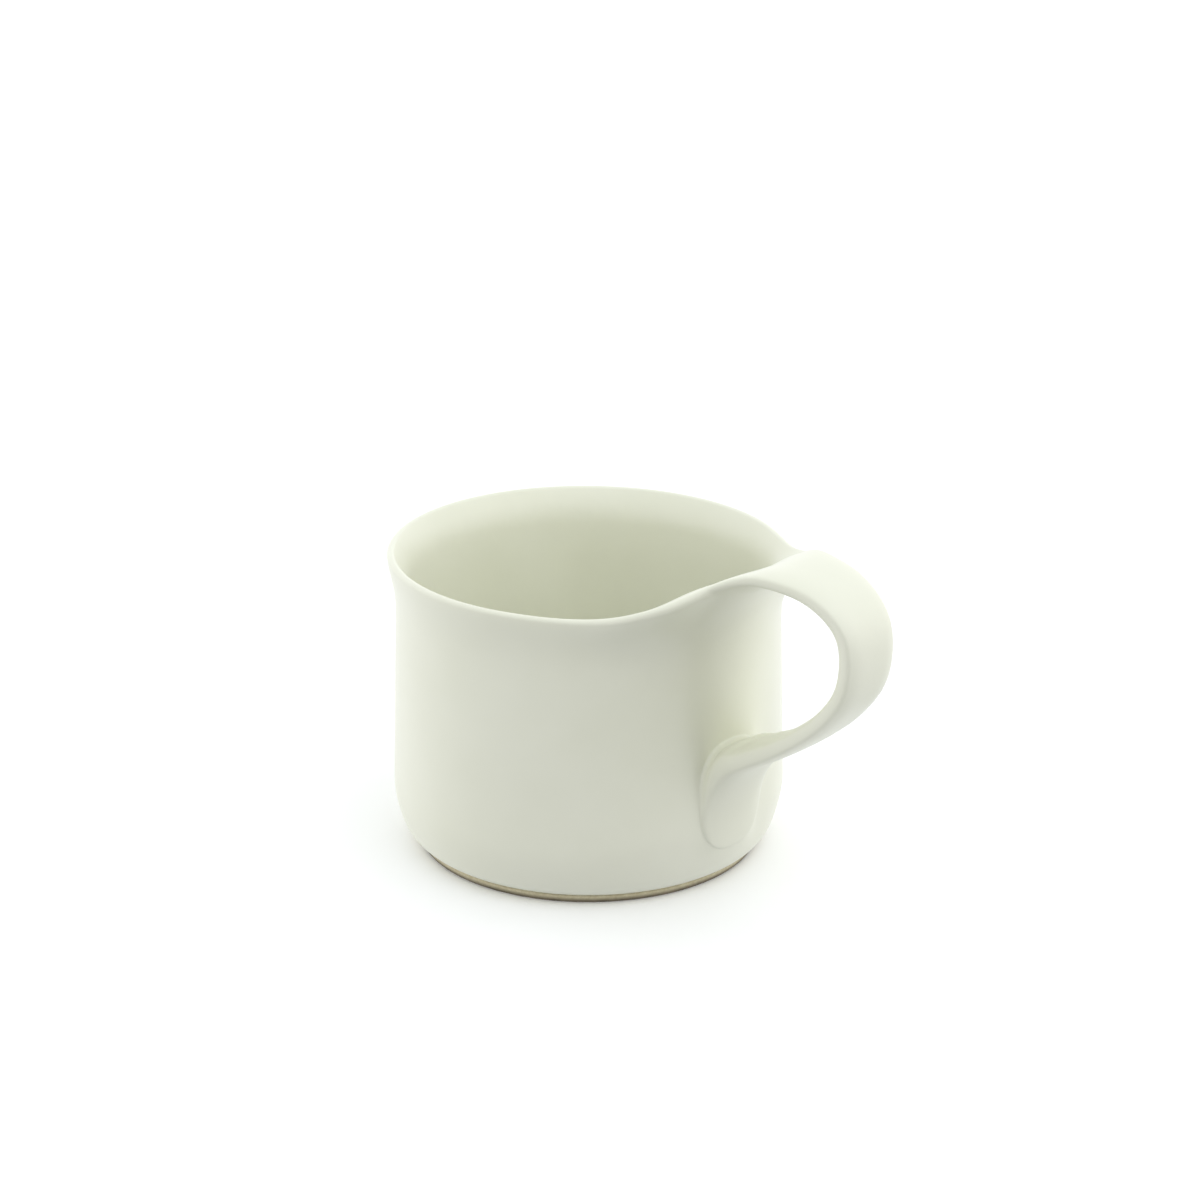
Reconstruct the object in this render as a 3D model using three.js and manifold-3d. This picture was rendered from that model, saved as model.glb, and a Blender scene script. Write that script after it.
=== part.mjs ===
// Ceramic shaving mug: a low, wide cup whose lip sweeps up and out into a flat strap handle.
// The strap curls out and down and is pressed onto the lower wall as a rounded tongue.
// Millimetres, +Z up. The handle points along +X and the mug is symmetric about the XZ plane.
import * as THREE from 'three';
import { mergeVertices } from 'three/addons/utils/BufferGeometryUtils.js';
import Module from 'manifold-3d';

// ---- driving dimensions, measured from the cup's axis and from the table ----
const JOINT_GAP = 0.3; // free space between any two neighbouring pieces
const SLIP_THICKNESS = 0.5; // layer of clay slip in each luted joint

const RIM_HEIGHT = 69.75; // top of the lip, away from the handle
const LIP_CENTRE_R = 44.5; // centre of the lip's rounded edge
const LIP_ROUND_R = 1.15; // radius of that rounded edge
const RIM_TILT = 0.35; // the rim stands this much higher at the back than at its mid sides
const WALL_TOP_R = 44.1; // outside radius just under the flared lip
const WALL_TOP_Z = 59;
const WALL_HEEL_R = 45.5; // outside radius just above the heel
const WALL_HEEL_Z = 13;
const BORE_R = 41.5; // inside radius of the wall
const BORE_TOP_Z = 60.8; // the inside flare starts here
const FLOOR_Z = 5.5; // inside floor
const FLOOR_CORNER_R = 8.5; // round between the inside floor and the wall
const UNDERSIDE_Z = 2.0; // underside of the cup, over the foot ring
const UNDERSIDE_R = 40.1; // where the heel's curve starts
const LIP_ARC = 0.8 * Math.PI; // the lip is round from its outer side over its crest, this far

// How the cup's three curved stretches leave their start and reach their end: handles [out, up].
const HEEL_HANDLES = [[2.6, 1.2], [0, -6.5]];
const OUTER_FLARE_HANDLES = [[-0.1, 5], [-0.3, -2.85]];
const INNER_FLARE_HANDLES = [[-1, -2.1], [0, 5]];

const FOOT_OUTER_R = 39.2; // the edge that the mug stands on
const FOOT_INNER_R = 34.6;
const FOOT_TOP_OUTER_R = 39.9; // the ring is wider where it meets the cup
const FOOT_TOP_INNER_R = 34.0;
const FOOT_EDGE_ROUND = 0.5;

// The lip's edge near the handle: azimuth from the handle in degrees, plan radius, height.
// It leaves the circle, swings out and up, and crosses the handle's root nearly straight.
const SWEEP_LIP = [
  [0, 50.3, 74.6],
  [8, 51.2, 75.3],
  [15, 53.2, 77.1],
  [20, 54.4, 77.3],
  [26, 53.5, 75.3],
  [33, 51.7, 73.1],
  [39, 48.7, 71.2],
  [46, 45.9, 69.9],
  [56, 44.7, 69.5],
  [66, LIP_CENTRE_R, 69.6],
];
const SWEEP_START_Z = 50; // the wall is untouched by the sweep below this height
const SWEEP_POWER = 2.8; // how sharply the flare under the swept lip turns out

// The strap's middle line in the XZ plane, its half width and half thickness there, and how
// far its edges stand above its middle: its head is dished, like the lip that it grows out of.
const STRAP_STATIONS = [
  { x: 50.2, z: 73.2, halfWidth: 18.4, halfThickness: 1.6, dish: 2.6 },
  { x: 55.9, z: 77.2, halfWidth: 13.9, halfThickness: 1.8, dish: 1.4 },
  { x: 62.1, z: 79.7, halfWidth: 11.3, halfThickness: 1.9, dish: 0.3 },
  { x: 73.2, z: 78.3, halfWidth: 9.1, halfThickness: 2.05, dish: 0 },
  { x: 81.0, z: 71.7, halfWidth: 7.8, halfThickness: 2.2, dish: 0 },
  { x: 81.2, z: 60.5, halfWidth: 7.5, halfThickness: 2.3, dish: 0 },
  { x: 75.9, z: 52.4, halfWidth: 7.5, halfThickness: 2.3, dish: 0 },
  { x: 68.2, z: 45.6, halfWidth: 7.7, halfThickness: 2.35, dish: 0 },
  { x: 60.0, z: 40.0, halfWidth: 8.4, halfThickness: 2.6, dish: 0 },
  { x: 53.0, z: 35.8, halfWidth: 9.2, halfThickness: 2.9, dish: 0 },
  { x: 47.8, z: 29.8, halfWidth: 9.7, halfThickness: 2.4, dish: 0 },
  { x: 46.0, z: 20.5, halfWidth: 9.5, halfThickness: 1.4, dish: 0 },
  { x: 46.0, z: 11.2, halfWidth: 9.5, halfThickness: 1.2, dish: 0 },
];
const SECTION_EXPONENT = 3; // superellipse section: crowned faces, soft edges
const TAIL_TOP_Z = 58; // the strap's return to the wall lies below this height
const TONGUE_ROUND_Z = 19.5; // the tongue's end rounds off below this height
const TONGUE_TIP_Z = 10.8;
const WRAP_FROM_X = 56; // the strap is flat across beyond this reach
const WRAP_FULL_X = 48; // and follows the round wall inside this one

const HEAD_JOINT_X = 52; // plane of the joint between the lip and the strap's head
const HEAD_BOTTOM_Z = 60; // the head lies above this height and the tail below it
const PAD_HALF_WIDTH = 9.9; // pocket in the wall that takes the strap's tongue
const PAD_BOTTOM_Z = 10.8;
const PAD_TOP_Z = 36.8;
const POCKET_R = 43.7; // radius of the pocket's bottom
const PAD_FROM_X = 30; // the bar that cuts the pocket starts inside the cup
const FAR = 150; // a distance beyond every edge of the mug

// ---- mesh resolution ----
const ROUND_SEGMENTS = 96;
const CURVE_STEPS = 4;
const SECTION_POINTS = 20;
const STRAP_STEPS = 46;
const PAD_STEPS = 14;

// ---- solids ----
const wasm = await Module();
wasm.setup();

function toSolid(geometry) {
  const bare = geometry.clone();
  bare.deleteAttribute('normal');
  bare.deleteAttribute('uv');
  const merged = mergeVertices(bare, 1e-4);
  const index = merged.index.array;
  const triangles = [];
  for (let i = 0; i < index.length; i += 3) {
    const [a, b, c] = [index[i], index[i + 1], index[i + 2]];
    if (a !== b && b !== c && c !== a) triangles.push(a, b, c);
  }
  return new wasm.Manifold(new wasm.Mesh({
    numProp: 3,
    vertProperties: new Float32Array(merged.attributes.position.array),
    triVerts: new Uint32Array(triangles),
  }));
}

function toGeometry(solid) {
  const mesh = solid.getMesh();
  const geometry = new THREE.BufferGeometry();
  geometry.setAttribute('position', new THREE.BufferAttribute(mesh.vertProperties, 3));
  geometry.setIndex(new THREE.BufferAttribute(mesh.triVerts, 1));
  geometry.computeVertexNormals();
  return geometry;
}

function turned(points) {
  const geometry = new THREE.LatheGeometry(points, ROUND_SEGMENTS);
  geometry.rotateX(Math.PI / 2);
  return geometry;
}

function box(low, high) {
  const size = new THREE.Vector3().subVectors(high, low);
  const middle = new THREE.Vector3().addVectors(high, low).multiplyScalar(0.5);
  const geometry = new THREE.BoxGeometry(size.x, size.y, size.z);
  geometry.translate(middle.x, middle.y, middle.z);
  return toSolid(geometry);
}

function cylinder(radius) {
  const geometry = new THREE.CylinderGeometry(radius, radius, 2 * FAR, ROUND_SEGMENTS);
  geometry.rotateX(Math.PI / 2);
  return toSolid(geometry);
}

// Everything beyond the plane x = from and short of x = to.
function slab(from, to) {
  return box(new THREE.Vector3(from, -FAR, -FAR), new THREE.Vector3(to, FAR, FAR));
}

// ---- cup ----
// Carries the path on to a point along a curve that leaves and arrives along two handles.
function bend(path, [[leaveOut, leaveUp], [arriveOut, arriveUp]], radius, height) {
  const { x, y } = path.currentPoint;
  path.bezierCurveTo(
    x + leaveOut, y + leaveUp,
    radius + arriveOut, height + arriveUp,
    radius, height,
  );
}

// Half section of the cup, with its outer side moved out by the growth.
function cupProfile(growth) {
  const path = new THREE.Path();
  const lipZ = RIM_HEIGHT - LIP_ROUND_R;
  const lipRound = LIP_ROUND_R + growth;
  const cornerR = BORE_R - FLOOR_CORNER_R;
  const cornerZ = FLOOR_Z + FLOOR_CORNER_R;
  path.moveTo(0, UNDERSIDE_Z - growth);
  path.lineTo(UNDERSIDE_R, UNDERSIDE_Z - growth);
  bend(path, HEEL_HANDLES, WALL_HEEL_R + growth, WALL_HEEL_Z);
  path.lineTo(WALL_TOP_R + growth, WALL_TOP_Z);
  bend(path, OUTER_FLARE_HANDLES, LIP_CENTRE_R + lipRound, lipZ);
  path.absarc(LIP_CENTRE_R, lipZ, lipRound, 0, LIP_ARC, false);
  bend(path, INNER_FLARE_HANDLES, BORE_R, BORE_TOP_Z);
  path.lineTo(BORE_R, cornerZ);
  path.absarc(cornerR, cornerZ, FLOOR_CORNER_R, 0, -Math.PI / 2, true);
  path.lineTo(0, FLOOR_Z);
  return path.getPoints(CURVE_STEPS);
}

const sweepPlan = new THREE.SplineCurve(SWEEP_LIP.map(([a, r]) => new THREE.Vector2(a, r)));
const sweepRise = new THREE.SplineCurve(SWEEP_LIP.map(([a, , z]) => new THREE.Vector2(a, z)));

// The curve's second coordinate where its first one, which only grows, reaches the azimuth.
function valueAt(curve, azimuth) {
  let low = 0;
  let high = 1;
  for (let i = 0; i < 40; i += 1) {
    const middle = (low + high) / 2;
    if (curve.getPoint(middle).x < azimuth) low = middle;
    else high = middle;
  }
  return curve.getPoint(low).y;
}

// Pulls the turned cup's lip out and up around the handle's root.
function sweepLip(geometry) {
  const position = geometry.attributes.position;
  const [lastAzimuth, , lastZ] = SWEEP_LIP[SWEEP_LIP.length - 1];
  const tiltThere = RIM_TILT * Math.cos(THREE.MathUtils.degToRad(lastAzimuth));
  for (let i = 0; i < position.count; i += 1) {
    const x = position.getX(i);
    const y = position.getY(i);
    const z = position.getZ(i);
    const radius = Math.hypot(x, y);
    if (z > SWEEP_START_Z && radius > 1) {
      const angle = Math.atan2(y, x);
      const azimuth = Math.abs(THREE.MathUtils.radToDeg(angle));
      const share = (z - SWEEP_START_Z) / (RIM_HEIGHT - SWEEP_START_Z);
      const pull = Math.pow(share, SWEEP_POWER);
      let out = 0;
      let up = -RIM_TILT * Math.cos(angle);
      if (azimuth < lastAzimuth) {
        out = valueAt(sweepPlan, azimuth) - LIP_CENTRE_R;
        up = valueAt(sweepRise, azimuth) - lastZ - tiltThere;
      }
      const reach = (radius + out * pull) / radius;
      position.setXYZ(i, x * reach, y * reach, z + up * pull);
    }
  }
  return geometry;
}

const cup = toSolid(sweepLip(turned(cupProfile(0))));
const grownCup = toSolid(sweepLip(turned(cupProfile(JOINT_GAP))));

// ---- strap ----
const strapLine = new THREE.SplineCurve(STRAP_STATIONS.map((s) => new THREE.Vector2(s.x, s.z)));
const strapSize = new THREE.CatmullRomCurve3(
  STRAP_STATIONS.map((s) => new THREE.Vector3(s.halfWidth, s.halfThickness, s.dish)),
  false, 'catmullrom', 0.5,
);

function unitSection() {
  const corner = 2 / SECTION_EXPONENT;
  const points = [];
  for (let i = 0; i < SECTION_POINTS; i += 1) {
    const angle = (2 * Math.PI * i) / SECTION_POINTS;
    const across = Math.sign(Math.cos(angle)) * Math.abs(Math.cos(angle)) ** corner;
    const through = Math.sign(Math.sin(angle)) * Math.abs(Math.sin(angle)) ** corner;
    points.push(new THREE.Vector2(across, through));
  }
  return new THREE.Shape(points);
}

// A straight bar of the section is laid along the strap's line, station by station.
function strapSolid() {
  const bar = new THREE.ExtrudeGeometry(unitSection(), {
    depth: 1, steps: STRAP_STEPS, bevelEnabled: false,
  });
  const position = bar.attributes.position;
  for (let i = 0; i < position.count; i += 1) {
    const along = THREE.MathUtils.clamp(position.getZ(i), 0, 1);
    const place = strapLine.getPoint(along);
    const tangent = strapLine.getTangent(along);
    const size = strapSize.getPoint(along);
    let halfWidth = size.x;
    if (place.y < TONGUE_ROUND_Z) {
      const share = (TONGUE_ROUND_Z - place.y) / (TONGUE_ROUND_Z - TONGUE_TIP_Z);
      halfWidth *= Math.sqrt(1 - share * share);
    }
    const across = position.getX(i) * halfWidth;
    const through = position.getY(i) * size.y;
    const outX = place.x - tangent.y * through;
    const outZ = place.y + tangent.x * through + size.z * position.getX(i) ** 2;
    const nearWall = 1 - THREE.MathUtils.smoothstep(place.x, WRAP_FULL_X, WRAP_FROM_X);
    const wrap = place.y < TAIL_TOP_Z ? nearWall : 0;
    const turn = across / outX;
    const x = THREE.MathUtils.lerp(outX, outX * Math.cos(turn), wrap);
    const y = THREE.MathUtils.lerp(across, outX * Math.sin(turn), wrap);
    position.setXYZ(i, x, y, outZ);
  }
  return toSolid(bar);
}

// Straight bar along X with the outline of the wall's pocket, shrunk all round by the margin.
function padBar(margin) {
  const halfWidth = PAD_HALF_WIDTH - margin;
  const shape = new THREE.Shape();
  const top = PAD_TOP_Z - PAD_HALF_WIDTH;
  const bottom = PAD_BOTTOM_Z + PAD_HALF_WIDTH;
  shape.absarc(0, top, halfWidth, 0, Math.PI, false);
  shape.absarc(0, bottom, halfWidth, Math.PI, 2 * Math.PI, false);
  const geometry = new THREE.ExtrudeGeometry(shape, {
    depth: FAR, bevelEnabled: false, curveSegments: PAD_STEPS,
  });
  geometry.rotateX(Math.PI / 2);
  geometry.rotateZ(Math.PI / 2);
  geometry.translate(PAD_FROM_X, 0, 0);
  return toSolid(geometry);
}

const strap = strapSolid();

// ---- the five pieces, cut from the fused form along the two joints ----
const headSlipFrom = HEAD_JOINT_X;
const headSlipTo = HEAD_JOINT_X + SLIP_THICKNESS;
const strapHeadFrom = headSlipTo + JOINT_GAP;
const lipEnd = HEAD_JOINT_X - JOINT_GAP;
const above = box(new THREE.Vector3(0, -FAR, HEAD_BOTTOM_Z), new THREE.Vector3(FAR, FAR, FAR));

const fused = cup.add(strap.intersect(slab(0, strapHeadFrom)).intersect(above));
const pocket = padBar(0).subtract(cylinder(POCKET_R));
const cupBody = fused.intersect(slab(-FAR, lipEnd)).subtract(pocket);

const upperSlip = strap.intersect(slab(headSlipFrom, headSlipTo)).intersect(above);

const slipInner = cylinder(POCKET_R + JOINT_GAP);
const slipOuter = cylinder(POCKET_R + JOINT_GAP + SLIP_THICKNESS);
const plug = padBar(JOINT_GAP);
const lowerSlip = plug.intersect(slipOuter.subtract(slipInner));

const strapBack = cylinder(POCKET_R + SLIP_THICKNESS + 2 * JOINT_GAP);
const handleStrap = strap
  .subtract(above.intersect(slab(0, strapHeadFrom)))
  .subtract(strapBack)
  .subtract(grownCup.subtract(plug));

function footRing() {
  const top = UNDERSIDE_Z - JOINT_GAP;
  const path = new THREE.Path();
  path.moveTo(FOOT_INNER_R + FOOT_EDGE_ROUND, 0);
  path.lineTo(FOOT_OUTER_R - FOOT_EDGE_ROUND, 0);
  path.quadraticCurveTo(FOOT_OUTER_R, 0, FOOT_OUTER_R, FOOT_EDGE_ROUND);
  path.lineTo(FOOT_TOP_OUTER_R, top);
  path.lineTo(FOOT_TOP_INNER_R, top);
  path.lineTo(FOOT_INNER_R, FOOT_EDGE_ROUND);
  path.quadraticCurveTo(FOOT_INNER_R, 0, FOOT_INNER_R + FOOT_EDGE_ROUND, 0);
  return toSolid(turned(path.getPoints(CURVE_STEPS / 2)));
}

// ---- materials ----
const WHITE_GLAZE = { color: 0xeceee2, roughness: 0.3, metalness: 0 };
const GLAZED_SLIP = { color: 0xeceee2, roughness: 0.5, metalness: 0 };
const RAW_CLAY = { color: 0xc9c3a6, roughness: 0.8, metalness: 0 };

function piece(name, solid, look) {
  const mesh = new THREE.Mesh(toGeometry(solid), new THREE.MeshStandardMaterial(look));
  mesh.name = name;
  return mesh;
}

// ---- assembly: the origin is under the middle of the whole object, on the table ----
const strapBox = handleStrap.boundingBox();
const cupBox = cupBody.boundingBox();
const middleX = (strapBox.max[0] + cupBox.min[0]) / 2;

const mug = new THREE.Group();
mug.add(
  piece('cup_body', cupBody, WHITE_GLAZE),
  piece('foot_ring', footRing(), RAW_CLAY),
  piece('handle_strap', handleStrap, WHITE_GLAZE),
  piece('upper_luting_slip', upperSlip, GLAZED_SLIP),
  piece('lower_luting_slip', lowerSlip, GLAZED_SLIP),
);
mug.position.x = -middleX;

export default mug;
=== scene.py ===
"""Ceramic shaving mug: a low flared cup whose lip sweeps up into a flat strap handle."""
import math

import bpy
import numpy as np
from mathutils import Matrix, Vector


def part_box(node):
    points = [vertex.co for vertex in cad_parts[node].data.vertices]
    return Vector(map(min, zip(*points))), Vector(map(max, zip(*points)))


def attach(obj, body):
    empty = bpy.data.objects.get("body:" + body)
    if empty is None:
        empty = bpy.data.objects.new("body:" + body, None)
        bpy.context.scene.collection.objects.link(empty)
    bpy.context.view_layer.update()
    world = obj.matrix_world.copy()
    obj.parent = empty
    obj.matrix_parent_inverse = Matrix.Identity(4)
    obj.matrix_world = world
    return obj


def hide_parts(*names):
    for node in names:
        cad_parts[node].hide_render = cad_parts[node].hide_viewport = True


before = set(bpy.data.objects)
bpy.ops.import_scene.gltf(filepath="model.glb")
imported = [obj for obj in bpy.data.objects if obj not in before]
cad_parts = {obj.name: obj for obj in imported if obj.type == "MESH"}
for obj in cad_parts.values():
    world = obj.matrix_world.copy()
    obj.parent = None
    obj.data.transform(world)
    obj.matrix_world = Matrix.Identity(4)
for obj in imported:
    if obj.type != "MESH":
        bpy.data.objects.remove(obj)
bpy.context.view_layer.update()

# ---- driving dimensions: millimetres from the cup's axis and from the table ----
MM = 0.001
ring_low, ring_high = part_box("foot_ring")
AXIS_X = (ring_low[0] + ring_high[0]) / 2  # the cup's axis in the frame, metres

RIM_HEIGHT = 69.95
RIM_TILT = 0.5  # the rim is this much lower towards the handle
LIP_CENTRE_R = 44.9  # middle of the lip's rounded edge
LIP_ROUND_R = 1.0
LIP_STOUTER = 0.3  # more radius where the edge runs into the strap
STOUTER_SPAN = 18, 32  # azimuths over which that fades out, degrees
WALL_TOP_R, WALL_TOP_Z = 44.1, 59.0
WALL_HEEL_R, WALL_HEEL_Z = 45.5, 13.0
UNDERSIDE_R, UNDERSIDE_Z = 40.1, 2.0
HEEL_HANDLES = (2.6, 1.2), (0.0, -6.5)  # of the heel's curve, from the underside and the wall
BORE_R = 41.2
THROWING_DEPTH = 0.1  # of the shallow rings that throwing leaves in the bore
FLOOR_Z = 5.5
FLOOR_CORNER_R = 8.5

# The lip's shape where it is plain, and beside the handle, with a smooth change between.
SWEPT_SPAN = 20, 60  # azimuths of that change, degrees
INNER_FLARE_Z = 61.2, 58.0  # the flare starts here, upright
INNER_FLARE_HANDLES = (2.0, 4.8), (9.0, 9.0)  # of its curve, from the bore and the lip
INNER_SLOPE = 56.0, 12.0  # degrees, where the inside meets the lip's edge
OUTER_FLARE_Z = 57.0, 56.0
OUTER_FLARE_HANDLES = (6.0, 2.9), (9.0, 6.0)
OUTER_SLOPE = 88.0, 43.0
LIP_UNDERCUT = 0.0, 42.0  # degrees, how far the rounded edge turns under
HEAD_SLOPE, HEAD_SPREAD = 20.0, 12.0  # steeper inside by this at the strap, over this azimuth

# The lip's edge beside the handle: azimuth in degrees, radius of the edge's centre, top height.
SWEEP_LIP = (
    (15, 53.2, 77.3), (20, 53.4, 77.0), (26, 52.8, 74.9), (33, 51.3, 72.9), (39, 48.8, 71.1),
    (46, 46.2, 69.9), (56, 45.1, 69.6), (66, 44.9, 69.75),
)
# The strap's middle line, half width, half thickness and dish, from its head to the wall.
STRAP_STATIONS = (
    (50.2, 73.9, 17.6, 2.05, 2.5),
    (55.9, 77.7, 13.9, 2.0, 1.7),
    (62.1, 79.8, 11.3, 1.95, 0.4),
    (73.2, 78.35, 9.2, 2.05, 0.0),
    (81.0, 71.75, 7.85, 2.2, 0.0),
    (81.2, 60.5, 7.5, 2.3, 0.0),
    (75.9, 51.9, 7.5, 2.3, 0.0),
    (68.2, 45.0, 7.7, 2.35, 0.0),
    (60.0, 39.4, 8.4, 2.6, 0.0),
    (53.0, 35.4, 9.2, 2.9, 0.0),
    (47.8, 29.8, 9.7, 2.4, 0.0),
)
HEAD_X = 52.0  # the strap's head is luted to the lip here
SLIP_THICKNESS = 0.5
RING_STEP = 2.9  # between the rings of points along the strap
HEAD_END = 2  # by this station the section has lost its head's roundness
WRAP_SPAN = -56, -48  # minus x, over which the strap coming in takes the wall's roundness
FOOT_STATION = 9  # from this station on, the strap spreads into its foot on the wall

# The foot's sections: inner point, outer point, half width, share of the foot's own outline,
# and how far the section follows the round wall.
FOOT_SECTIONS = (
    ((49.7, 38.0), (51.4, 30.1), 9.35, 0.25, 0.6),
    ((48.2, 37.2), (48.4, 24.8), 9.5, 0.5, 0.9),
    ((47.2, 36.6), (46.9, 19.0), 9.6, 0.8, 1.0),
    ((46.6, 36.3), (46.4, 14.3), 9.6, 1.0, 1.0),
)
OUTLINE_Z = 23.55  # middle of the foot's outline on the wall
# Outline loops from the foot's edge down its fillet and out on to the wall:
# half height, half width, height above the wall.
OUTLINE_LOOPS = ((12.85, 9.7, 0.65), (13.0, 9.8, 0.3), (13.15, 9.95, 0.03), (13.5, 10.3, 0.0))

STRAP_EXPONENT = 3.5  # of the superellipse that the strap's section is
LIP_EXPONENT = 2.6  # the same at the strap's head, rounder
FOOT_EXPONENT = 2.6  # and for the foot's outline
FOOT_CORNER = 33.0  # degrees, where the foot's outline turns from its ends to its sides
EDGE_SHARE = 0.9  # the faces reach this share of the half width, the rounded edges the rest
SUBDIVISIONS = 2


# ---- curves ----
def catmull(points, place):
    """The uniform Catmull-Rom curve through the points, at a place counted in points."""
    table = np.asarray(points, float)
    last = len(table) - 1
    i = min(int(place), last - 1)
    t = place - i
    p0, p1, p2, p3 = table[max(i - 1, 0)], table[i], table[i + 1], table[min(i + 2, last)]
    cubic = (3 * (p1 - p2) + p3 - p0) * t**3
    square = (2 * p0 - 5 * p1 + 4 * p2 - p3) * t**2
    return 0.5 * (2 * p1 + (p2 - p0) * t + square + cubic)


def bezier(p0, p1, p2, p3, t):
    """The cubic from p0 to p3 with the handles p1 and p2, at t from 0 to 1."""
    s = 1 - t
    return s**3 * p0 + 3 * s * s * t * p1 + 3 * s * t * t * p2 + t**3 * p3


def ramp(value, low, high):
    """Smooth step from 0 at low to 1 at high."""
    t = min(max((value - low) / (high - low), 0.0), 1.0)
    return t * t * (3 - 2 * t)


def mix(a, b, share):
    """Between a and b by a share of 0 to 1."""
    return a + (b - a) * share


def turned(azimuth, radius, height):
    """The point at an azimuth in radians about the cup's axis."""
    return np.array((radius * math.cos(azimuth), radius * math.sin(azimuth), height))


def outside_profile():
    """Radius and height up the heel's curve and the straight wall."""
    underside = np.array((UNDERSIDE_R, UNDERSIDE_Z))
    wall = np.array((WALL_HEEL_R, WALL_HEEL_Z))
    low, high = (np.array(handle) for handle in HEEL_HANDLES)
    heel = [bezier(underside, underside + low, wall + high, wall, t) for t in np.linspace(0, 1, 60)]
    return np.array(heel + [(WALL_TOP_R, WALL_TOP_Z)])


OUTSIDE = outside_profile()


def wall_radius(height):
    """The cup's outside radius at a height below the flare."""
    return float(np.interp(height, OUTSIDE[:, 1], OUTSIDE[:, 0]))


SWEEP = np.array([catmull(SWEEP_LIP, p) for p in np.linspace(0, len(SWEEP_LIP) - 1, 200)])


def lip_round(azimuth):
    """Radius of the lip's rounded edge, stouter where it runs into the strap."""
    return LIP_ROUND_R + LIP_STOUTER * (1 - ramp(abs(math.degrees(azimuth)), *STOUTER_SPAN))


def lip_centre(azimuth):
    """Radius and height of the middle of the lip's rounded edge."""
    degrees = abs(math.degrees(azimuth))
    if degrees >= SWEEP_LIP[-1][0]:
        return LIP_CENTRE_R, RIM_HEIGHT - RIM_TILT * math.cos(azimuth) - LIP_ROUND_R
    radius = float(np.interp(degrees, SWEEP[:, 0], SWEEP[:, 1]))
    return radius, float(np.interp(degrees, SWEEP[:, 0], SWEEP[:, 2])) - lip_round(azimuth)


# ---- the strap's sections: rings of points, counted from the outer face round both edges ----
HALF = 4  # columns on each side of the middle of a face
EDGE = 6  # steps round an edge
RING = 4 * HALF + 2 * EDGE


def outer(j):
    """Number in the ring of column j of the outer face, counted from the face's middle."""
    return j + HALF


def inner(j):
    """The same for the inner face."""
    return 3 * HALF + EDGE - j


def side(sign, i):
    """Number in the ring of step i round the edge on one side, from the outer face."""
    return 2 * HALF + i if sign > 0 else (RING - i) % RING


def unit_ring(exponent, corner, evenly):
    """Ring of (across, through) on the unit superellipse; the corner is an angle in radians."""
    ring = np.zeros((RING, 2))
    power = 2 / exponent

    def at(angle):
        return math.cos(angle) ** power, math.copysign(abs(math.sin(angle)) ** power, angle)

    for j in range(-HALF, HALF + 1):
        share = abs(j) / HALF
        if evenly:
            across, through = at(mix(math.pi / 2 - 1e-9, corner, share))
        else:
            across = EDGE_SHARE * share
            through = (1 - across**exponent) ** (1 / exponent)
        across = math.copysign(across if j else 0.0, j)
        ring[outer(j)] = across, through
        ring[inner(j)] = across, -through
    for i in range(1, EDGE):
        across, through = at(corner * (1 - 2 * i / EDGE))
        ring[side(1, i)] = across, through
        ring[side(-1, i)] = -across, through
    return ring


STRAP_RING = unit_ring(STRAP_EXPONENT, math.acos(EDGE_SHARE ** (STRAP_EXPONENT / 2)), False)
LIP_RING = unit_ring(LIP_EXPONENT, math.acos(EDGE_SHARE ** (LIP_EXPONENT / 2)), False)
FOOT_RING = unit_ring(FOOT_EXPONENT, math.radians(FOOT_CORNER), True)


def wrapped(points, share):
    """Bends points round the cup's axis: x is taken as the radius, y as the arc."""
    radius = points[:, 0]
    turn = points[:, 1] / radius
    round_wall = np.stack((radius * np.cos(turn), radius * np.sin(turn), points[:, 2]), 1)
    return mix(points, round_wall, share)


def strap_section(place):
    """Ring of points square to the strap's line; the last ones bend to the round wall."""
    x, z, half_width, half_thickness, dish = catmull(STRAP_STATIONS, place)
    ahead = catmull(STRAP_STATIONS, place + 0.01)[:2] - (x, z)
    along = ahead / np.linalg.norm(ahead)
    ring = mix(LIP_RING, STRAP_RING, ramp(place, place_at_x(HEAD_X), HEAD_END))
    across, through = ring[:, 0], ring[:, 1] * half_thickness
    rise = dish * across**2
    near_wall = ramp(-x, *WRAP_SPAN) if place > len(STRAP_STATIONS) / 2 else 0.0
    points = np.stack(
        (x - along[1] * through, across * half_width, z + along[0] * through + rise), 1,
    )
    return wrapped(points, near_wall)


def foot_section(inner_point, outer_point, half_width, own_outline, wrap):
    """Ring of points between the strap's last section and the foot's outline."""
    ring = mix(STRAP_RING, FOOT_RING, own_outline)
    inside, outside = np.array(inner_point), np.array(outer_point)
    middle, half = (inside + outside) / 2, (outside - inside) / 2
    points = np.stack((
        middle[0] + half[0] * ring[:, 1],
        ring[:, 0] * half_width,
        middle[1] + half[1] * ring[:, 1],
    ), 1)
    return wrapped(points, wrap)


def outline_section(half_height, half_width, above_wall):
    """Ring of points that lies flat on the wall."""
    heights = OUTLINE_Z - FOOT_RING[:, 1] * half_height
    radii = np.array([wall_radius(z) + above_wall for z in heights])
    return wrapped(np.stack((radii, FOOT_RING[:, 0] * half_width, heights), 1), 1.0)


def place_at_x(x):
    """The place on the strap's line, between its first two stations, that is this far out."""
    low, high = 0.0, 1.0
    for _ in range(40):
        middle = (low + high) / 2
        if catmull(STRAP_STATIONS, middle)[0] < x:
            low = middle
        else:
            high = middle
    return low


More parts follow.
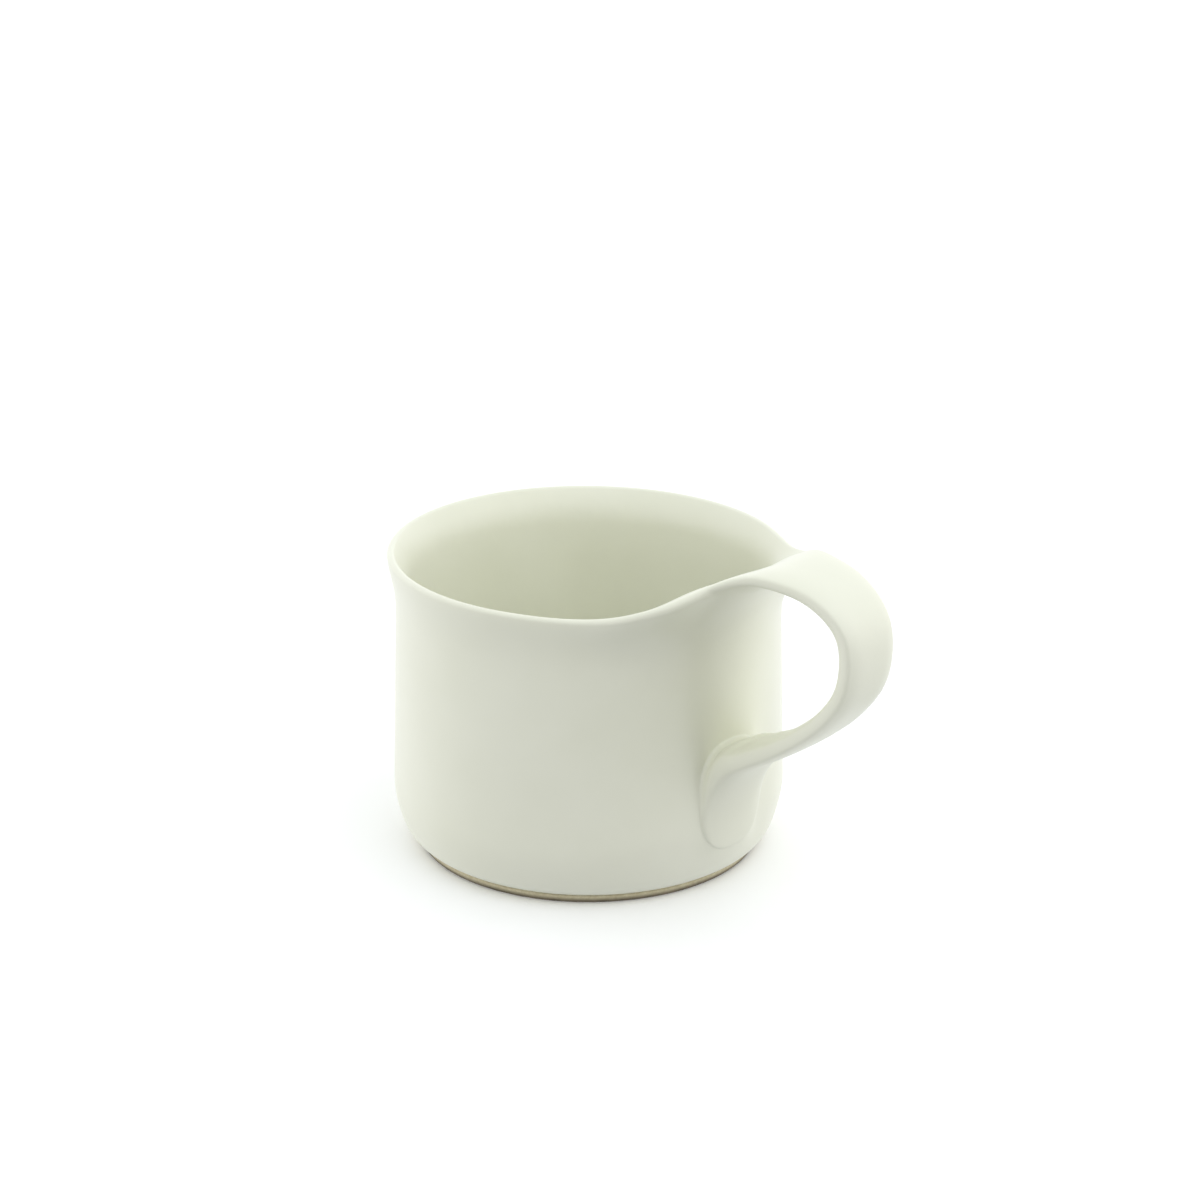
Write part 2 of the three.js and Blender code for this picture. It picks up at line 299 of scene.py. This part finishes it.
def strap_places(step):
    """Places on the strap's line at even steps of length, from its joint to its foot."""
    head, neck = place_at_x(HEAD_X), place_at_x(HEAD_X + SLIP_THICKNESS)
    dense = np.linspace(neck, FOOT_STATION, 600)
    line = np.array([catmull(STRAP_STATIONS, p)[:2] for p in dense])
    run = np.concatenate(([0], np.cumsum(np.linalg.norm(np.diff(line, axis=0), axis=1))))
    count = round(run[-1] / step)
    return [head] + list(np.interp(np.linspace(0, run[-1], count + 1), run, dense))


# ---- cage of the whole glazed form ----
LIP_COLUMNS = 34  # columns of the cup from the strap's edge round to the back
COLUMNS = 2 * (HALF + LIP_COLUMNS)
CUP, STRAP, UPPER_SLIP, LOWER_SLIP = range(4)
FLARE_ROWS = 6
FAR_ROWS = 11.5, 36.5  # the rows beside the foot spread to these heights round the cup
FAR_COLUMNS = 9  # within this many columns
SQUEEZE, SQUEEZE_COLUMNS = 2.6, 2.5  # degrees that the columns close in on the foot, and how far


class Cage:
    """Points by name, and faces with the number of the piece that they belong to."""

    def __init__(self):
        self.points = []
        self.index = {}
        self.faces = []
        self.owner = []

    def put(self, name, point):
        """Adds a point."""
        self.index[name] = len(self.points)
        self.points.append(point)

    def same(self, name, other):
        """Gives a point a second name."""
        self.index[name] = self.index[other]

    def face(self, owner, *names):
        """Adds a face of one piece."""
        self.faces.append([self.index[n] for n in names])
        self.owner.append(owner)


def column_azimuths():
    """Azimuths of the cup's columns, from the handle round one side to the back."""
    reach = EDGE_SHARE * catmull(STRAP_STATIONS, place_at_x(HEAD_X))[2]
    near = [math.atan2(reach * j / HALF, HEAD_X) for j in range(HALF + 1)]
    far = list(np.linspace(near[-1], math.pi, LIP_COLUMNS + 1))[1:]
    return near + far


AZIMUTHS = column_azimuths()


def azimuth_of(j):
    """Azimuth of a column, counted both ways from the handle's middle."""
    return math.copysign(AZIMUTHS[abs(j)], j) if j else 0.0


def columns():
    """Numbers of the cup's columns, 0 in the middle of the handle."""
    return range(-(COLUMNS // 2) + 1, COLUMNS // 2 + 1)


def following(j):
    """The next column round the cup."""
    return j + 1 if j < COLUMNS // 2 else -(COLUMNS // 2) + 1


def swept(azimuth):
    """1 beside the handle, 0 where the lip is plain."""
    return 1 - ramp(abs(math.degrees(azimuth)), *SWEPT_SPAN)


def arrival(azimuth):
    """Slope, in degrees, at which the inside meets the lip."""
    at_strap = HEAD_SLOPE * math.exp(-(math.degrees(azimuth) / HEAD_SPREAD)**2)
    return mix(*INNER_SLOPE, swept(azimuth)) + at_strap


def lip_points(j):
    """Points round the lip's edge, from its inner shoulder over the top to its outer one."""
    azimuth = azimuth_of(j)
    radius, height = lip_centre(azimuth)
    edge = lip_round(azimuth)
    start = math.radians(90 + arrival(azimuth))
    end = -math.radians(mix(*LIP_UNDERCUT, swept(azimuth)))
    angles = np.linspace(start, end, EDGE + 1)
    return [
        turned(azimuth, radius + edge * math.cos(a), height + edge * math.sin(a)) for a in angles
    ]


def flare(azimuth, start, end, slope, handles):
    """Rows from an upright wall along a curve that reaches its end at a slope in degrees."""
    start_handle, end_handle = (mix(plain, beside, swept(azimuth)) for plain, beside in zip(*handles))
    up = turned(azimuth, 0, 1)
    arrive = turned(azimuth, math.cos(math.radians(slope)), math.sin(math.radians(slope)))
    steps = np.linspace(0, 1, FLARE_ROWS + 1)
    return [
        bezier(start, start + up * start_handle, end - arrive * end_handle, end, t)
        for t in steps[:-1]
    ]


def add_inside(cage):
    """Rows ("in", row, j) from the floor's middle up to the flare; the last is the lip or strap."""
    corner_r, corner_z = BORE_R - FLOOR_CORNER_R, FLOOR_Z + FLOOR_CORNER_R
    profile = [(r, FLOOR_Z) for r in (5, 13, 21, 28)]
    for a in np.linspace(-90, 0, 6):
        turn = math.radians(a)
        profile.append((
            corner_r + FLOOR_CORNER_R * math.cos(turn), corner_z + FLOOR_CORNER_R * math.sin(turn),
        ))
    profile += [(BORE_R + THROWING_DEPTH * (-1)**i, 20 + 7 * i) for i in range(6)]
    for j in columns():
        azimuth = azimuth_of(j)
        for row, (radius, height) in enumerate(profile):
            cage.put(("in", row, j), turned(azimuth, radius, height))
        start = turned(azimuth, BORE_R, mix(*INNER_FLARE_Z, swept(azimuth)))
        end = cage.points[cage.index[("lip", 0, j)]]
        curve = flare(azimuth, start, end, arrival(azimuth), INNER_FLARE_HANDLES)
        for step, point in enumerate(curve):
            cage.put(("in", len(profile) + step, j), point)
        cage.same(("in", len(profile) + FLARE_ROWS, j), ("lip", 0, j))
    rows = len(profile) + FLARE_ROWS
    for j in columns():
        k = following(j)
        for row in range(rows):
            cage.face(CUP, ("in", row, j), ("in", row + 1, j), ("in", row + 1, k), ("in", row, k))
    cage.face(CUP, *[("in", 0, j) for j in columns()])


def beside_foot(j, step):
    """Point of the wall beside the foot's hole: near it the rows are as close as the hole's."""
    if 0 < step < EDGE:
        through = FOOT_RING[side(1, EDGE - step), 1]
    else:
        through = math.copysign(FOOT_RING[outer(HALF), 1], step - 1)
    near = OUTLINE_Z + through * OUTLINE_LOOPS[-1][0]
    far = mix(*FAR_ROWS, step / EDGE)
    height = mix(near, far, ramp(abs(j), HALF, HALF + FAR_COLUMNS))
    squeeze = math.radians(SQUEEZE) * math.exp((HALF - abs(j)) / SQUEEZE_COLUMNS)
    azimuth = azimuth_of(j)
    turn = math.copysign(abs(azimuth) - squeeze * (j != COLUMNS // 2), azimuth)
    return turned(turn, wall_radius(height), height)


def add_outside(cage):
    """Rows ("out", row, j) from the underside's middle up to the flare, round the foot's hole."""
    low_rows = [(r, UNDERSIDE_Z) for r in (5, 14, 23, 30, 36, UNDERSIDE_R - 0.6)]
    low_rows += [(wall_radius(z), z) for z in (UNDERSIDE_Z + 0.12, 3.2, 5.2)]
    hole_row = len(low_rows)
    high_rows = [(wall_radius(z), z) for z in (42.5, 47, 51.5)]
    flare_row = hole_row + EDGE + 1 + len(high_rows)
    hole = len(strap_rings) - 1
    for j in columns():
        azimuth = azimuth_of(j)
        for row, (radius, height) in enumerate(low_rows):
            cage.put(("out", row, j), turned(azimuth, radius, height))
        for step in range(EDGE + 1):
            name = ("out", hole_row + step, j)
            if abs(j) > HALF:
                cage.put(name, beside_foot(j, step))
            elif step == 0:
                cage.same(name, ("strap", hole, outer(j)))
            elif step == EDGE:
                cage.same(name, ("strap", hole, inner(j)))
            elif abs(j) == HALF:
                cage.same(name, ("strap", hole, side(j, step)))
        for step, (radius, height) in enumerate(high_rows):
            cage.put(("out", hole_row + EDGE + 1 + step, j), turned(azimuth, radius, height))
        start_z = mix(*OUTER_FLARE_Z, swept(azimuth))
        start = turned(azimuth, wall_radius(start_z), start_z)
        end = cage.points[cage.index[("lip", EDGE, j)]]
        curve = flare(azimuth, start, end, mix(*OUTER_SLOPE, swept(azimuth)), OUTER_FLARE_HANDLES)
        for step, point in enumerate(curve):
            cage.put(("out", flare_row + step, j), point)
        cage.same(("out", flare_row + FLARE_ROWS, j), ("lip", EDGE, j))
    rows = flare_row + FLARE_ROWS
    for j in columns():
        k = following(j)
        for row in range(rows):
            in_hole = hole_row <= row < hole_row + EDGE and -HALF <= j < HALF
            if not in_hole:
                cage.face(
                    CUP, ("out", row, j), ("out", row, k), ("out", row + 1, k), ("out", row + 1, j),
                )
    cage.face(CUP, *[("out", 0, j) for j in reversed(columns())])


def add_strap(cage):
    """Rings ("strap", ring, place), whose first one is the open end of the lip."""
    for ring, points in enumerate(strap_rings):
        for i, point in enumerate(points):
            cage.put(("strap", ring, i), point)
    owners = [UPPER_SLIP] + [STRAP] * (len(strap_rings) - 2)
    for back in range(1, len(OUTLINE_LOOPS) - 1):
        owners[-back] = LOWER_SLIP
    for ring, owner in enumerate(owners):
        for i in range(RING):
            k = (i + 1) % RING
            cage.face(
                owner, ("strap", ring, i), ("strap", ring + 1, i), ("strap", ring + 1, k),
                ("strap", ring, k),
            )


def add_lip(cage):
    """Points ("lip", i, j) round the lip's edge; beside the handle they are the strap's."""
    for j in columns():
        if abs(j) <= HALF:
            cage.same(("lip", 0, j), ("strap", 0, outer(j)))
            cage.same(("lip", EDGE, j), ("strap", 0, inner(j)))
            if abs(j) == HALF:
                for i in range(1, EDGE):
                    cage.same(("lip", i, j), ("strap", 0, side(j, i)))
        else:
            for i, point in enumerate(lip_points(j)):
                cage.put(("lip", i, j), point)
    for j in columns():
        k = following(j)
        if not -HALF <= j < HALF:
            for i in range(EDGE):
                cage.face(CUP, ("lip", i, j), ("lip", i + 1, j), ("lip", i + 1, k), ("lip", i, k))


strap_rings = [strap_section(p) for p in strap_places(RING_STEP)]
strap_rings += [foot_section(*section) for section in FOOT_SECTIONS]
strap_rings += [outline_section(*loop) for loop in OUTLINE_LOOPS]


def to_frame(points):
    """Millimetres about the cup's axis to metres in the frame."""
    return np.asarray(points) * MM + (AXIS_X, 0, 0)


def smooth_form():
    """The cage, subdivided: points, normals, faces and the faces' owners."""
    cage = Cage()
    add_strap(cage)
    add_lip(cage)
    add_inside(cage)
    add_outside(cage)
    mesh = bpy.data.meshes.new("form")
    mesh.from_pydata([tuple(p) for p in to_frame(cage.points)], [], cage.faces)
    for polygon, owner in zip(mesh.polygons, cage.owner):
        polygon.material_index = owner
        polygon.use_smooth = True
    for _ in (CUP, STRAP, UPPER_SLIP, LOWER_SLIP):
        mesh.materials.append(None)  # a slot for each owner, so that the numbers last
    form = bpy.data.objects.new("form", mesh)
    bpy.context.scene.collection.objects.link(form)
    finer = form.modifiers.new("finer", "SUBSURF")
    finer.levels = SUBDIVISIONS
    fine = bpy.data.meshes.new_from_object(
        form.evaluated_get(bpy.context.evaluated_depsgraph_get()),
    )
    points = np.array([v.co for v in fine.vertices])
    normals = np.array([n.vector for n in fine.vertex_normals])
    faces = [list(p.vertices) for p in fine.polygons]
    owners = [p.material_index for p in fine.polygons]
    bpy.data.objects.remove(form)
    bpy.data.meshes.remove(mesh)
    bpy.data.meshes.remove(fine)
    return points, normals, faces, owners


def open_rims(faces):
    """The loops of edges that only one face uses, each in the direction that a cap needs."""
    edges = {(f[i - 1], f[i]) for f in faces for i in range(len(f))}
    after = {b: a for a, b in edges if (b, a) not in edges}
    rims = []
    while after:
        start, here = after.popitem()
        rim = [start]
        while here != start:
            rim.append(here)
            here = after.pop(here)
        rims.append(rim)
    return rims


def rungs(loop, tip):
    """Faces across a flat loop, between its outer and inner side, starting at the tip's number."""
    count = len(loop)
    half = count // 2
    walk = [loop[(tip + i) % count] for i in range(count)]
    faces = [(walk[0], walk[1], walk[-1])]
    for i in range(1, half - 1):
        faces.append((walk[i], walk[i + 1], walk[-i - 1], walk[-i]))
    faces.append((walk[half - 1], walk[half], walk[half + 1]))
    return faces


def rim_caps(points, rim, loop, corners, hubs):
    """Faces that close a rim inside a joint: rungs at the head, a fan to a new hub at the foot."""
    middle = np.mean(points[rim], axis=0)
    if middle[2] > 2 * OUTLINE_Z * MM:
        return rungs(loop, int(np.argmax(points[rim][:, 1])))
    hub = len(corners)
    corners.append(tuple(to_frame((next(hubs), 0.0, OUTLINE_Z))))
    return [[loop[i - 1], loop[i], hub] for i in range(len(loop))]


def cut_piece(name, form, owner, hub_radii):
    """One piece of the form as a closed mesh, with the whole form's normals on its outside."""
    points, normals, faces, owners = form
    mine = [f for f, o in zip(faces, owners) if o == owner]
    rims = open_rims(mine)
    used = sorted({v for f in mine for v in f})
    renumber = {v: i for i, v in enumerate(used)}
    corners = [tuple(points[v]) for v in used]
    built = [[renumber[v] for v in f] for f in mine]
    corner_normals = [tuple(normals[v]) for f in mine for v in f]
    hubs = iter(sorted(hub_radii))
    rims.sort(key=lambda rim: float(np.mean(points[rim], axis=0)[0]))
    for rim in rims:
        caps = rim_caps(points, rim, [renumber[v] for v in rim], corners, hubs)
        for cap in caps:
            a, b, c = (Vector(corners[v]) for v in (cap[0], cap[1], cap[-1]))
            flat = (b - a).cross(c - a).normalized()
            corner_normals += [tuple(flat)] * len(cap)
        built += caps
    mesh = bpy.data.meshes.new(name)
    mesh.from_pydata(corners, [], built)
    mesh.polygons.foreach_set("use_smooth", [True] * len(built))
    mesh.normals_split_custom_set(corner_normals)
    piece = bpy.data.objects.new(name, mesh)
    bpy.context.scene.collection.objects.link(piece)
    return piece


# ---- foot ring ----
FOOT_SEGMENTS = 288
FOOT_TOP = 1.98  # a hair under the cup
FOOT_WAVERS = (0.05, 3, 0.7), (0.03, 11, 0.0)  # size, waves in a turn, start in radians
FOOT_OUTLINE = (
    (34.05, FOOT_TOP), (34.3, 1.2), (34.55, 0.55), (34.68, 0.3), (34.88, 0.12), (35.1, 0.03),
    (35.35, 0.0), (36.3, 0.0), (37.7, 0.0), (39.0, 0.0), (39.25, 0.03), (39.45, 0.12),
    (39.6, 0.3), (39.7, 0.55), (39.8, 1.1), (39.9, 1.6), (39.98, FOOT_TOP),
)


def foot_ring_piece():
    """The bare clay ring, with worn edges and the slight waver of a hand-cleaned foot."""
    points, faces = [], []
    count = len(FOOT_OUTLINE)
    for step in range(FOOT_SEGMENTS):
        azimuth = 2 * math.pi * step / FOOT_SEGMENTS
        waver = sum(size * math.sin(waves * azimuth + start) for size, waves, start in FOOT_WAVERS)
        for radius, height in FOOT_OUTLINE:
            loose = math.sin(math.pi * height / FOOT_TOP)
            points.append(turned(azimuth, radius + waver * loose, height))
        ahead = (step + 1) % FOOT_SEGMENTS
        for i in range(count):
            k = (i + 1) % count
            faces.append([step * count + i, ahead * count + i, ahead * count + k, step * count + k])
    mesh = bpy.data.meshes.new("bare_foot_ring")
    mesh.from_pydata([tuple(p) for p in to_frame(points)], [], faces)
    mesh.polygons.foreach_set("use_smooth", [True] * len(faces))
    ring = bpy.data.objects.new("bare_foot_ring", mesh)
    bpy.context.scene.collection.objects.link(ring)
    return ring


# ---- materials ----
class Nodes:
    """Short names for making and joining shader nodes."""

    def __init__(self, name):
        self.material = bpy.data.materials.new(name)
        self.material.use_nodes = True
        self.tree = self.material.node_tree
        self.shader = self.tree.nodes["Principled BSDF"]
        self.place = self.new("ShaderNodeTexCoord").outputs["Object"]

    def new(self, kind, **settings):
        """A new node with its properties set."""
        node = self.tree.nodes.new(kind)
        for key, value in settings.items():
            setattr(node, key, value)
        return node

    def join(self, source, target):
        """Links an output to an input."""
        self.tree.links.new(source, target)

    def noise(self, scale, detail, roughness=0.5):
        """Smooth noise in the piece's own space, scale cells to the metre."""
        node = self.new("ShaderNodeTexNoise")
        node.inputs["Scale"].default_value = scale
        node.inputs["Detail"].default_value = detail
        node.inputs["Roughness"].default_value = roughness
        self.join(self.place, node.inputs["Vector"])
        return node.outputs["Fac"]

    def ramp(self, source, stops):
        """Colour between (position, colour) stops."""
        node = self.new("ShaderNodeValToRGB")
        while len(node.color_ramp.elements) < len(stops):
            node.color_ramp.elements.new(0.5)
        for element, (position, colour) in zip(node.color_ramp.elements, stops):
            element.position = position
            element.color = (*colour, 1.0)
        self.join(source, node.inputs["Fac"])
        return node.outputs["Color"]

    def span(self, source, low, high):
        """The source's 0 to 1 as low to high."""
        node = self.new("ShaderNodeMapRange")
        node.inputs["To Min"].default_value = low
        node.inputs["To Max"].default_value = high
        self.join(source, node.inputs["Value"])
        return node.outputs["Result"]

    def blend(self, share, first, second):
        """The first colour where the share is 0, the second where it is 1."""
        node = self.new("ShaderNodeMixRGB")
        self.join(share, node.inputs["Fac"])
        self.join(first, node.inputs["Color1"])
        self.join(second, node.inputs["Color2"])
        return node.outputs["Color"]

    def height(self):
        """Height above the table."""
        split = self.new("ShaderNodeSeparateXYZ")
        self.join(self.place, split.inputs["Vector"])
        return split.outputs["Z"]

    def radius(self):
        """Distance from the cup's axis."""
        flat = self.new("ShaderNodeVectorMath", operation="MULTIPLY_ADD")
        flat.inputs[1].default_value = (1, 1, 0)
        flat.inputs[2].default_value = (-AXIS_X, 0, 0)
        self.join(self.place, flat.inputs[0])
        length = self.new("ShaderNodeVectorMath", operation="LENGTH")
        self.join(flat.outputs["Vector"], length.inputs[0])
        return length.outputs["Value"]

    def fade(self, source, start, end):
        """Smoothly from 0 at the start to 1 at the end, both in metres."""
        node = self.new("ShaderNodeMapRange", interpolation_type="SMOOTHSTEP")
        node.inputs["From Min"].default_value = start
        node.inputs["From Max"].default_value = end
        self.join(source, node.inputs["Value"])
        return node.outputs["Result"]

    def product(self, first, second):
        """The two numbers multiplied."""
        node = self.new("ShaderNodeMath", operation="MULTIPLY")
        self.join(first, node.inputs[0])
        self.join(second, node.inputs[1])
        return node.outputs["Value"]

    def bump(self, source, distance, below=None):
        """Relief of this height in metres, over the relief below it."""
        node = self.new("ShaderNodeBump")
        node.inputs["Distance"].default_value = distance
        self.join(source, node.inputs["Height"])
        if below is not None:
            self.join(below, node.inputs["Normal"])
        return node.outputs["Normal"]


def glaze_material():
    """Satin off-white glaze: faint drift of colour and gloss, a fine skin over a soft waver."""
    m = Nodes("satin_white_glaze")
    body = m.ramp(m.noise(38, 3), [(0.3, (0.770, 0.776, 0.655)), (0.7, (0.800, 0.805, 0.691))])
    m.join(body, m.shader.inputs["Base Color"])
    m.join(m.span(m.noise(140, 3), 0.27, 0.37), m.shader.inputs["Roughness"])
    skin = m.bump(m.noise(420, 2), 0.00002)
    m.join(m.bump(m.noise(45, 1), 0.00012, below=skin), m.shader.inputs["Normal"])
    return m.material


def bare_clay_material():
    """Matt grainy clay, darkened with painted contact shadow along the outer edge that meets the
    table.
    """
    m = Nodes("bare_clay")
    clean = m.ramp(m.noise(900, 4, 0.7), [(0.3, (0.50, 0.44, 0.28)), (0.7, (0.66, 0.61, 0.43))])
    # Painted contact shadow: a dark brown band on the ring's lower outer edge, where it meets the
    # table.
    painted_contact_shade = m.ramp(m.noise(300, 3, 0.6), [(0.3, (0.10, 0.085, 0.055)), (0.7, (0.18, 0.15, 0.10))])
    contact_shade_mask = m.product(m.fade(m.height(), 0.0015, 0.0003), m.fade(m.radius(), 0.0386, 0.0391))
    m.join(m.blend(contact_shade_mask, clean, painted_contact_shade), m.shader.inputs["Base Color"])
    m.join(m.span(m.noise(500, 2), 0.75, 0.92), m.shader.inputs["Roughness"])
    m.join(m.bump(m.noise(1600, 4, 0.7), 0.00006), m.shader.inputs["Normal"])
    return m.material


# ---- pieces ----
glaze = glaze_material()
clay = bare_clay_material()
form = smooth_form()

# The hubs are the radii of the points that close a piece's rims in the foot's joint.
for name, node, owner, hubs, look, slot in (
    ("glazed_cup", "cup_body", CUP, (43.7,), glaze, "white_glaze"),
    ("glazed_strap", "handle_strap", STRAP, (44.5,), glaze, "white_glaze"),
    ("head_slip", "upper_luting_slip", UPPER_SLIP, (), glaze, "glazed_slip"),
    ("foot_slip", "lower_luting_slip", LOWER_SLIP, (43.95, 44.3), glaze, "glazed_slip"),
):
    piece = cut_piece(name, form, owner, hubs)
    piece.data.materials.append(look)
    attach(piece, "root")
    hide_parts(node)

ring = foot_ring_piece()
ring.data.materials.append(clay)
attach(ring, "root")
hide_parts("foot_ring")


# ---- floor, light and camera ----
FLOOR_REACH = 6.0

# A white tent round the table. Its light changes evenly from the horizon to the top, which is
# a little cooler, and is the same below the horizon.
TENT_AT_HORIZON = (1.35, 1.34, 1.33)
TENT_RISE = (-0.43, -0.38, -0.33)
# The photographer's opening is dark: its middle's azimuth and elevation in degrees, and
# (cosine of the angle from the middle, share of the tent's light) at its rim and within.
OPENING_MIDDLE = -37, -20
OPENING_RIM, OPENING_WITHIN = (0.63, 1.0), (0.87, 0.08)

SUN_AZIMUTH, SUN_ELEVATION = 15, 45
SUN_WIDTH = 70
SUN_STRENGTH = 0.5

CAMERA_DISTANCE = 0.650
CAMERA_AZIMUTH, CAMERA_ELEVATION = -45, 22.2
CAMERA_TARGET = Vector((AXIS_X, 0, 0.034))
CAMERA_TILT, CAMERA_PAN = 1.928, -0.232  # degrees off the target
SENSOR, FOCAL = 36.0, 84.05
GAMMA = 0.92


def direction(azimuth, elevation):
    """Unit vector towards an azimuth and elevation in degrees."""
    a, e = math.radians(azimuth), math.radians(elevation)
    return Vector((math.cos(e) * math.cos(a), math.cos(e) * math.sin(a), math.sin(e)))


def aimed(name, data, position, target):
    """A lamp or camera that looks from its position to the target."""
    thing = bpy.data.objects.new(name, data)
    bpy.context.scene.collection.objects.link(thing)
    thing.location = position
    thing.rotation_euler = (target - position).to_track_quat("-Z", "Y").to_euler()
    return thing


def floor():
    """Pale floor. The tent lights the mug from below too, as if it were a light table."""
    mesh = bpy.data.meshes.new("floor")
    corners = [(-1, -1), (1, -1), (1, 1), (-1, 1)]
    mesh.from_pydata([(x * FLOOR_REACH, y * FLOOR_REACH, 0) for x, y in corners], [], [(0, 1, 2, 3)])
    plane = bpy.data.objects.new("floor", mesh)
    bpy.context.scene.collection.objects.link(plane)
    look = bpy.data.materials.new("pale_floor")
    look.use_nodes = True
    shader = look.node_tree.nodes["Principled BSDF"]
    shader.inputs["Base Color"].default_value = (0.99, 0.99, 0.985, 1)
    shader.inputs["Roughness"].default_value = 0.9
    shader.inputs["Specular IOR Level"].default_value = 0.0
    mesh.materials.append(look)
    plane.visible_diffuse = False
    plane.visible_shadow = False


def overhead_light():
    """One broad soft light."""
    light = bpy.data.lights.new("overhead", "SUN")
    light.energy = SUN_STRENGTH
    light.angle = math.radians(SUN_WIDTH)
    aimed("overhead", light, direction(SUN_AZIMUTH, SUN_ELEVATION), Vector())


def tent():
    """The tent's light by direction, times the opening's share."""
    world = bpy.data.worlds.new("studio")
    bpy.context.scene.world = world
    world.use_nodes = True
    tree = world.node_tree
    ray = tree.nodes.new("ShaderNodeTexCoord").outputs["Generated"]
    facing = tree.nodes.new("ShaderNodeVectorMath")
    facing.operation = "DOT_PRODUCT"
    facing.inputs[1].default_value = direction(*OPENING_MIDDLE)
    tree.links.new(ray, facing.inputs[0])
    opening = tree.nodes.new("ShaderNodeValToRGB")
    opening.color_ramp.interpolation = "EASE"
    stops = zip(opening.color_ramp.elements, (OPENING_RIM, OPENING_WITHIN))
    for element, (position, share) in stops:
        element.position = position
        element.color = (share, share, share, 1)
    tree.links.new(facing.outputs["Value"], opening.inputs["Fac"])
    split = tree.nodes.new("ShaderNodeSeparateXYZ")
    tree.links.new(ray, split.inputs["Vector"])
    height = tree.nodes.new("ShaderNodeMath")
    height.operation = "ABSOLUTE"
    tree.links.new(split.outputs["Z"], height.inputs[0])
    cloth = tree.nodes.new("ShaderNodeVectorMath")
    cloth.operation = "MULTIPLY_ADD"
    cloth.inputs[1].default_value = TENT_RISE
    cloth.inputs[2].default_value = TENT_AT_HORIZON
    tree.links.new(height.outputs["Value"], cloth.inputs[0])
    light = tree.nodes.new("ShaderNodeVectorMath")
    light.operation = "MULTIPLY"
    tree.links.new(opening.outputs["Color"], light.inputs[0])
    tree.links.new(cloth.outputs["Vector"], light.inputs[1])
    tree.links.new(light.outputs["Vector"], tree.nodes["Background"].inputs["Color"])


def camera():
    """The camera at the photograph's viewing angle."""
    lens = bpy.data.cameras.new("camera")
    lens.sensor_width = SENSOR
    lens.lens = FOCAL
    lens.clip_end = 50
    place = CAMERA_TARGET + direction(CAMERA_AZIMUTH, CAMERA_ELEVATION) * CAMERA_DISTANCE
    eye = aimed("camera", lens, place, CAMERA_TARGET)
    eye.rotation_euler.rotate_axis("X", math.radians(CAMERA_TILT))
    eye.rotation_euler.rotate_axis("Y", math.radians(CAMERA_PAN))
    bpy.context.scene.camera = eye
    bpy.context.scene.view_settings.view_transform = "Standard"
    bpy.context.scene.view_settings.gamma = GAMMA


floor()
tent()
overhead_light()
camera()
